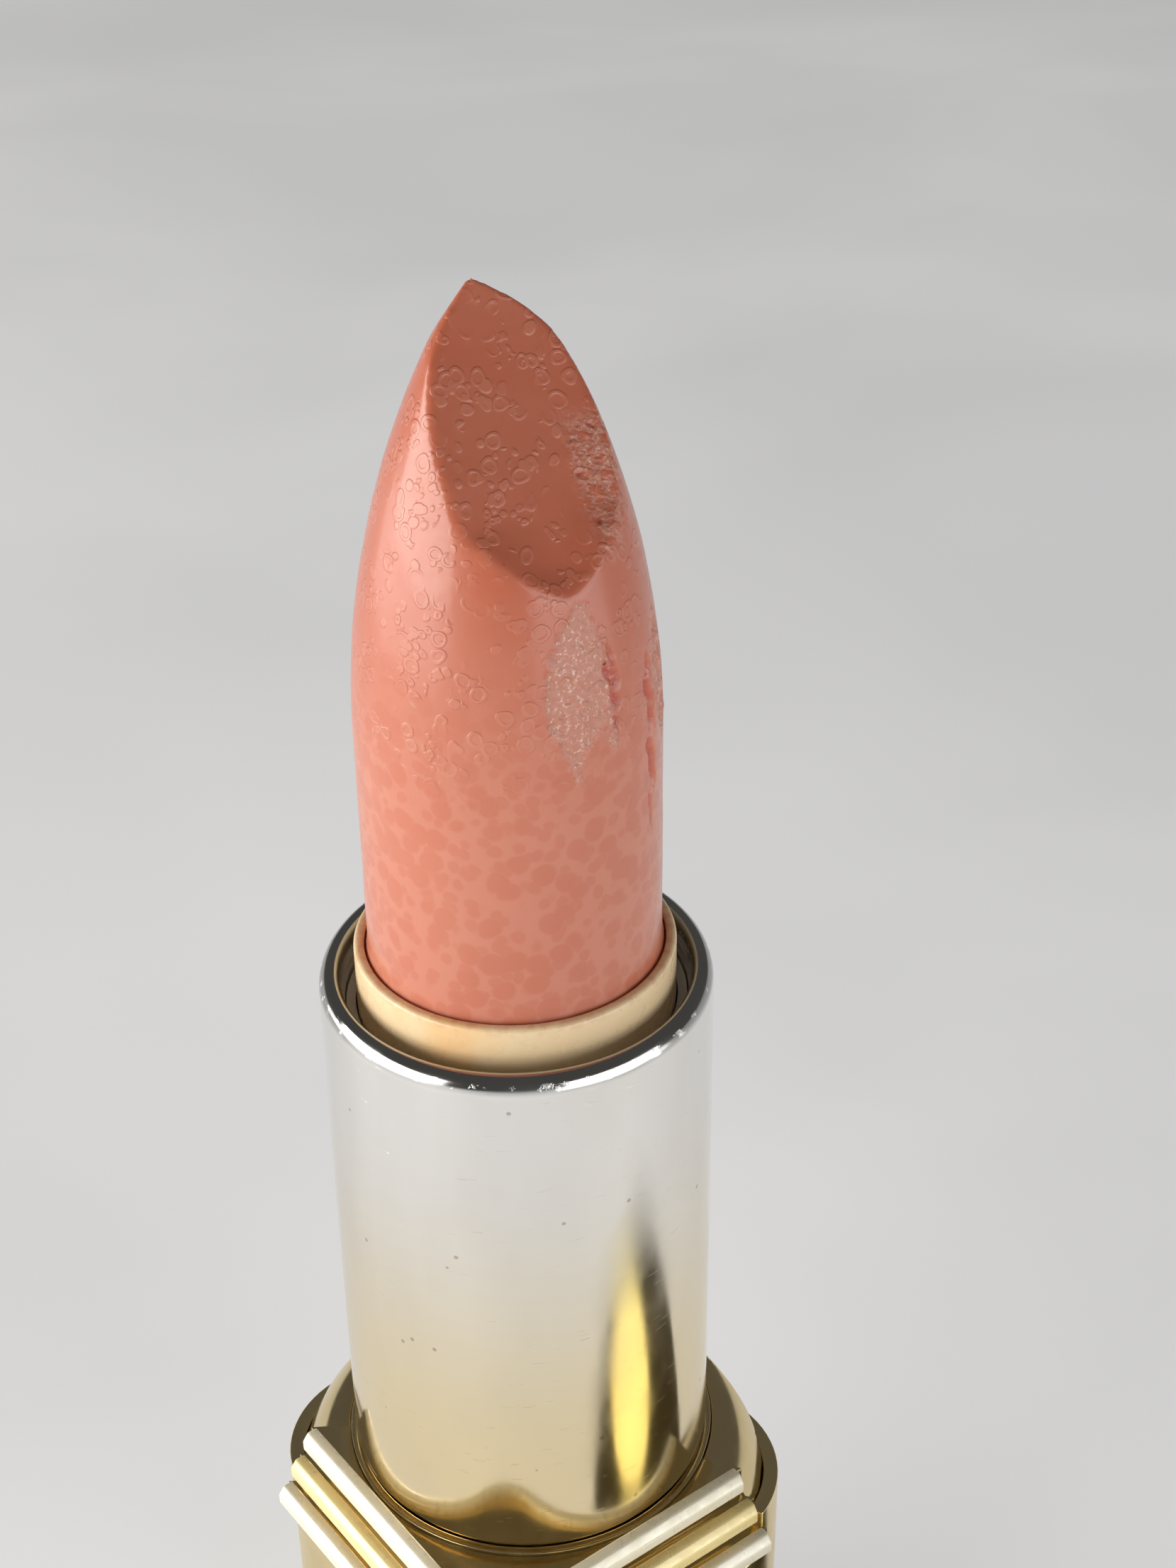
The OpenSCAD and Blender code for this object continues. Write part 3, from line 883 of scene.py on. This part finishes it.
class LIPSTICK_OT_bush(bpy.types.Operator):
    """Model the thin brass bush round the foot of the tube"""

    bl_idname = "lipstick.bush"
    bl_label = "Collar bush"

    def execute(self, context):
        colours = context.scene.lipstick_colours
        outer, bore = high("collar_bush").x, 8.07 * MM
        bottom, top = low("collar_bush").z, high("collar_bush").z
        edge = 0.07 * MM
        profile = [(bore, bottom), (outer, bottom)]
        profile += arc((outer - edge, top - edge), (edge, edge), 0, 90, 4)
        profile += arc((bore + edge, top - edge), (edge, edge), 90, 180, 4)
        piece = lathe("collar_ring", profile, 160)
        smooth(piece)
        hand_over(piece, "base", "collar_bush", gold_finish("turned_brass", colours, 0.22, 0.8))
        return {"FINISHED"}


class LIPSTICK_OT_shoulder(bpy.types.Operator):
    """Model the domed shoulder and the stepped seat of the bars"""

    bl_idname = "lipstick.shoulder"
    bl_label = "Shoulder"

    def execute(self, context):
        sizes, colours = context.scene.lipstick_sizes, context.scene.lipstick_colours
        self.bottom, self.top = low("shoulder").z, high("shoulder").z
        self.seat_angle = math.radians(78)
        self.bore = high("collar_bush").x + HAIR
        piece = self.dome(sizes)
        for i in range(3):
            join(piece, self.seat(sizes, i))
        round_edges(piece, 0.08 * MM, 2)
        smooth(piece, 35)
        finish = gold_finish("dark_gold", colours, 0.14, 0.92)
        hand_over(piece, "base", "shoulder", finish)
        return {"FINISHED"}

    def dome(self, sizes):
        """The rear and sides: a turned dome cut by the four flats, open in front for the bars."""
        mouth, spread = sizes.mouth_radius, sizes.shoulder_spread
        drop = self.top - self.bottom
        edge, foot = 0.12 * MM, 0.35 * MM
        end = math.acos((self.bore + edge - mouth) / spread)
        crown = self.bottom + drop * math.sin(end)
        profile = [(self.bore, self.bottom), (mouth + spread - foot, self.bottom)]
        profile += arc((mouth, self.bottom), (spread, drop), 20, math.degrees(end), 26)
        profile += arc((self.bore + edge, crown - edge), (edge, edge), 90, 180, 4)[1:]
        piece = lathe("domed_shoulder", profile, ROUND)
        settle(piece)
        inner = sizes.base_half - sizes.shell_wall - HAIR
        corner = sizes.base_corner - sizes.shell_wall
        room = prism("inside_of_shell", inner, corner, corner, self.bottom - MM, self.top + MM)
        cut(piece, room, "INTERSECT")
        cut(piece, self.front(self.seat_angle))
        return piece

    def front(self, half_angle):
        """A block over the front of the shoulder, from below it to above it."""
        return wedge("front", half_angle, BEYOND, self.bottom - 2 * MM, self.top + 2 * MM)

    def seat(self, sizes, i):
        """One flat-sided step of the seat, bored for the bush."""
        pitch = high("upper_bar").z - high("middle_bar").z
        below_dome, lap, lap_angle = 0.05 * MM, 0.002 * MM, 0.002
        top = self.top - (below_dome if i == 0 else i * pitch)
        step_bottom = self.top - (i + 1) * pitch
        half = sizes.bar_seat + i * sizes.bar_step
        step = prism("step", half, sizes.bar_turn, sizes.bar_turn, step_bottom, top + lap)
        cut(step, self.front(self.seat_angle + lap_angle), "INTERSECT")
        deselect()
        bpy.ops.mesh.primitive_cylinder_add(
            vertices=ROUND, radius=self.bore, depth=BEYOND, location=(0, 0, self.top))
        cut(step, bpy.context.object)
        return step


class LIPSTICK_OT_shell(bpy.types.Operator):
    """Model the gold outer shell, cut away in front for the bars"""

    bl_idname = "lipstick.shell"
    bl_label = "Base shell"

    def execute(self, context):
        sizes, colours = context.scene.lipstick_sizes, context.scene.lipstick_colours
        top, seat = high("base_shell").z, low("shoulder").z
        wall, open_angle = sizes.shell_wall, math.radians(78.2)
        front = sizes.bar_turn + sizes.base_half - sizes.bar_seat - 2 * sizes.bar_step
        piece = prism("gold_shell", sizes.base_half, sizes.base_corner, front, 0, top, 18)
        cavity = prism("cavity", sizes.base_half - wall, sizes.base_corner - wall, front - wall,
                       -2 * MM, top + 2 * MM, 18)
        cut(piece, cavity)
        cut(piece, wedge("front", open_angle, BEYOND, seat - HAIR, top + 4 * MM))
        round_edges(piece, 0.3 * MM, 4)
        smooth(piece, 35)
        finish = gold_finish("polished_gold", colours, 0.2, 0.95)
        hand_over(piece, "base", "base_shell", finish)
        return {"FINISHED"}


class LIPSTICK_OT_bars(bpy.types.Operator):
    """Model the three bars: each section is drawn, run along one side, spun round the corner and run on"""

    bl_idname = "lipstick.bars"
    bl_label = "Bars"

    def execute(self, context):
        sizes, colours = context.scene.lipstick_sizes, context.scene.lipstick_colours
        cream = bar_finish("cream_enamel", colours.cream, (0.90, 0.84, 0.66), 0.04)
        gold = bar_finish("gold_enamel", colours.warm_gold, (0.95, 0.85, 0.6), 0.45)
        for i, (name, material, slot) in enumerate((
                ("upper_bar", cream, "cream_bar"),
                ("middle_bar", gold, "gold_bar"),
                ("lower_bar", cream, "cream_bar"))):
            piece = self.bar(name, sizes, i)
            hand_over(piece, "base", name, material)
        return {"FINISHED"}

    def bar(self, node, sizes, i):
        """One bar. Its left leg runs along the side that faces (-1, -1), towards the front corner."""
        longer = 0.43 * MM
        seat, turn = sizes.bar_seat + i * sizes.bar_step, sizes.bar_turn
        tail, straight = sizes.bar_tail + longer * i, seat - turn
        out, along, onward = (Vector(way).normalized() for way in ((-1, -1, 0), (1, -1, 0), (1, 1, 0)))
        piece = self.section(node, sizes.bar_depth, out * seat - along * tail, out)
        bpy.ops.mesh.extrude_region_move(TRANSFORM_OT_translate={"value": along * (tail + straight)})
        hub = out * straight + along * straight
        bpy.ops.mesh.spin(steps=20, angle=math.radians(-90), center=hub, axis=(0, 0, 1))
        bpy.ops.mesh.extrude_region_move(TRANSFORM_OT_translate={"value": onward * (tail + straight)})
        close_up()
        settle(piece)
        round_edges(piece, 0.1 * MM, 3, 24)
        smooth(piece, 35)
        return piece

    def section(self, node, depth, start, out):
        """Draws a bar's section from a six-sided circle: flat back, sloping top and upright front."""
        bottom, height = low(node).z, high(node).z - low(node).z
        outline = [(0, 0), (0.84, 0), (1, 0.12), (1, 0.62), (0.62, 1), (0, 1)]
        deselect()
        bpy.ops.mesh.primitive_circle_add(
            vertices=len(outline), radius=depth / 2, fill_type="NGON", location=start)
        piece = begin(node + "_enamel")
        settle(piece)
        bpy.ops.object.mode_set(mode="EDIT")
        mesh = bmesh.from_edit_mesh(piece.data)
        for vertex, (u, v) in zip(mesh.verts, outline):
            vertex.co = start + out * depth * u + Vector((0, 0, bottom + height * v))
        bmesh.update_edit_mesh(piece.data)
        bpy.ops.mesh.select_all(action="SELECT")
        return piece


class LIPSTICK_OT_inside(bpy.types.Operator):
    """Give the hidden pieces of the case their materials"""

    bl_idname = "lipstick.inside"
    bl_label = "Inner pieces"

    def execute(self, context):
        colours = context.scene.lipstick_colours
        white = moulded_finish("white_plastic", (0.82, 0.81, 0.78), 0.4)
        finishes = {
            "base_liner": moulded_finish("grey_plastic", (0.68, 0.68, 0.66), 0.5),
            "guide_tube": white,
            "upper_brake_ring": moulded_finish("silicone_band", (0.09, 0.09, 0.1), 0.45, 0.7),
            "lower_brake_ring": moulded_finish("silicone_ring", (0.07, 0.07, 0.08), 0.4, 0.7),
            "base_weight": steel_finish("zinc_plate"),
            "bottom_plate": gold_finish("plate_gold", colours, 0.24, 0.9),
            "shade_label": paper_finish("label_paper"),
            "spiral_sleeve": moulded_finish("spiral_plastic", (0.6, 0.6, 0.6), 0.45),
        }
        for node, material in finishes.items():
            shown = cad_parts[node]
            shown.data.materials.clear()
            shown.data.materials.append(material)
        return {"FINISHED"}


class LIPSTICK_OT_stage(bpy.types.Operator):
    """Lay the pale floor, hang the soft lights and set the camera"""

    bl_idname = "lipstick.stage"
    bl_label = "Stage"

    def execute(self, context):
        colours = context.scene.lipstick_colours
        self.floor(colours)
        self.card("dark_card", azimuth=77, distance=33 * MM, half_width=18 * MM, half_depth=19 * MM,
                  height=0.3 * MM, colour=(0.05, 0.04, 0.02), glow=0.6)
        self.card("yellow_card", azimuth=70, distance=38.5 * MM, half_width=8.5 * MM, half_depth=8.5 * MM,
                  height=0.6 * MM, colour=(1.0, 0.87, 0.36), glow=1.1)
        self.world(context.scene)
        self.lights()
        self.camera(context.scene)
        context.scene.view_settings.view_transform = "Standard"
        context.scene.view_settings.look = "None"
        context.scene.cycles.use_denoising = True
        return {"FINISHED"}

    def floor(self, colours):
        """A pale mottled floor that glows a little more towards the camera, like a lit paper sweep."""
        radius, border = 8.0, 0.3
        deselect()
        bpy.ops.mesh.primitive_circle_add(vertices=96, radius=radius, fill_type="NGON", location=(0, 0, 0))
        floor = begin("pale_floor")
        bpy.ops.mesh.inset(thickness=border)
        settle(floor)
        self.unlit_floor = bpy.data.collections.new("unlit_floor")
        self.unlit_floor.objects.link(floor)
        self.unlit_floor.collection_objects[0].light_linking.link_state = "EXCLUDE"
        f = Finish("pale_floor")
        f.set(roughness=0.9, specular_ior_level=0.0, emission_strength=1.0)
        veins = f.noise(f.stretch((0.009, 0.011, 0.02), (0, 0, 12)), 1.0, 3.0, 0.5, 0.4)
        tone = f.ramp(veins, 0.3, 0.7)
        f.use("Base Color", f.mix(tone, colours.floor, [c * 0.93 for c in colours.floor]))
        depth = f.times(f.add("SeparateXYZ", {0: f.place}).outputs["Y"], 1 / MM)
        glow = f.ramp(depth, -60.0, 160.0, 0.5, 0.4)
        glow = f.times(glow, f.ramp(veins, 0.3, 0.7, 1.0, 0.88))
        f.use("Emission Color", f.add("CombineXYZ", {0: glow, 1: glow, 2: glow}).outputs[0])
        floor.data.materials.append(f.material)

    def card(self, name, azimuth, distance, half_width, half_depth, height, colour, glow):
        """An oval card lying beside the case, seen only in its reflections."""
        deselect()
        a = math.radians(azimuth)
        at = (distance * math.sin(a), -distance * math.cos(a), height)
        bpy.ops.mesh.primitive_circle_add(vertices=48, radius=1, fill_type="NGON", location=at)
        card = begin(name)
        bpy.ops.transform.resize(value=(half_width, half_depth, 1), center_override=at)
        bpy.ops.transform.rotate(value=-a, orient_axis="Z", center_override=at)
        bpy.ops.mesh.inset(thickness=0.2 * min(half_width, half_depth))
        settle(card)
        f = Finish(name)
        f.set(roughness=0.8, specular_ior_level=0.0, emission_strength=glow)
        shade = f.ramp(f.noise(f.stretch((0.1, 0.1, 0.1)), 1.0, 2.0), 0.3, 0.7)
        f.use("Base Color", f.mix(shade, colour, [c * 0.9 for c in colour]))
        f.use("Emission Color", f.mix(shade, colour, [c * 0.9 for c in colour]))
        card.data.materials.append(f.material)
        card.visible_camera = card.visible_diffuse = card.visible_shadow = False

    def world(self, scene):
        """Pale where the camera sees it, dimmer in reflections, as a studio is beyond its lights."""
        world = bpy.data.worlds.new("studio")
        world.use_nodes = True
        scene.world = world
        nodes, links = world.node_tree.nodes, world.node_tree.links
        seen = nodes.new("ShaderNodeBackground")
        seen.inputs["Color"].default_value = (0.5, 0.5, 0.5, 1)
        unseen = nodes["Background"]
        unseen.inputs["Color"].default_value = (0.11, 0.105, 0.1, 1)
        path = nodes.new("ShaderNodeLightPath")
        mix = nodes.new("ShaderNodeMixShader")
        links.new(path.outputs["Is Camera Ray"], mix.inputs[0])
        links.new(unseen.outputs[0], mix.inputs[1])
        links.new(seen.outputs[0], mix.inputs[2])
        links.new(mix.outputs[0], nodes["World Output"].inputs["Surface"])

    def softbox(self, name, azimuth, elevation, distance, size, power, colour):
        """A soft rectangular light aimed at the case. Azimuth runs from the front towards the right."""
        light = bpy.data.lights.new(name, "AREA")
        light.shape = "RECTANGLE"
        light.size, light.size_y = size
        light.energy = power
        light.color = colour
        lamp = bpy.data.objects.new(name, light)
        bpy.context.scene.collection.objects.link(lamp)
        a, e = math.radians(azimuth), math.radians(elevation)
        target = Vector((0, 0, 50 * MM))
        away = Vector((math.sin(a) * math.cos(e), -math.cos(a) * math.cos(e), math.sin(e)))
        lamp.location = target + away * distance
        lamp.rotation_mode = "QUATERNION"
        lamp.rotation_quaternion = away.to_track_quat("Z", "Y")
        lamp.visible_camera = False
        return lamp

    def lights(self):
        """Two softboxes, and two low bounce lights that light the case and not the floor."""
        warm, cool = (1.0, 0.98, 0.95), (0.97, 0.98, 1.0)
        self.softbox("left_softbox", azimuth=-64, elevation=10, distance=0.45, size=(0.6, 0.22),
                     power=2.5, colour=warm)
        self.softbox("right_softbox", azimuth=60, elevation=9, distance=0.5, size=(0.5, 0.2),
                     power=0.9, colour=cool)
        left = self.softbox("left_bounce", azimuth=-75, elevation=-14, distance=0.21, size=(0.30, 0.12),
                            power=0.2, colour=warm)
        right = self.softbox("right_bounce", azimuth=62, elevation=-14, distance=0.21, size=(0.26, 0.12),
                             power=0.14, colour=warm)
        for bounce in (left, right):
            bounce.light_linking.receiver_collection = self.unlit_floor

    def camera(self, scene):
        """A camera a little to the right of the front, looking down at the lip of the tube."""
        place = Vector((14.67, -80.71, 109.94)) * MM
        pan, look_down, lean = (math.radians(angle) for angle in (8.15, 31.93, -0.776))
        data = bpy.data.cameras.new("camera")
        data.sensor_width = 36
        data.lens = 56.03
        data.clip_start = 0.001
        data.clip_end = 20
        camera = bpy.data.objects.new("camera", data)
        scene.collection.objects.link(camera)
        turn = Matrix.Rotation(pan, 4, "Z")
        tilt = Matrix.Rotation(math.pi / 2 - look_down, 4, "X")
        roll = Matrix.Rotation(lean, 4, "Z")
        camera.matrix_world = Matrix.Translation(place) @ turn @ tilt @ roll
        scene.camera = camera


STEPS = (
    LIPSTICK_OT_bullet,
    LIPSTICK_OT_cup,
    LIPSTICK_OT_tube,
    LIPSTICK_OT_bush,
    LIPSTICK_OT_shoulder,
    LIPSTICK_OT_shell,
    LIPSTICK_OT_bars,
    LIPSTICK_OT_inside,
    LIPSTICK_OT_stage,
)


class LIPSTICK_PT_panel(bpy.types.Panel):
    """Sizes, colours and steps of the lipstick case"""

    bl_idname = "LIPSTICK_PT_panel"
    bl_label = "Lipstick Case"
    bl_space_type = "VIEW_3D"
    bl_region_type = "UI"
    bl_category = "Lipstick Case"

    def draw(self, context):
        for group in (context.scene.lipstick_sizes, context.scene.lipstick_colours):
            box = self.layout.box()
            for name in group.__annotations__:
                box.prop(group, name)
        for step in STEPS:
            self.layout.operator(step.bl_idname)


CLASSES = (LipstickSizes, LipstickColours, *STEPS, LIPSTICK_PT_panel)


def register():
    for item in CLASSES:
        bpy.utils.register_class(item)
    bpy.types.Scene.lipstick_sizes = bpy.props.PointerProperty(type=LipstickSizes)
    bpy.types.Scene.lipstick_colours = bpy.props.PointerProperty(type=LipstickColours)


def unregister():
    del bpy.types.Scene.lipstick_colours
    del bpy.types.Scene.lipstick_sizes
    for item in reversed(CLASSES):
        bpy.utils.unregister_class(item)


def main():
    register()
    for step in STEPS:
        group, name = step.bl_idname.split(".")
        getattr(getattr(bpy.ops, group), name)()


if __name__ == "__main__":
    main()
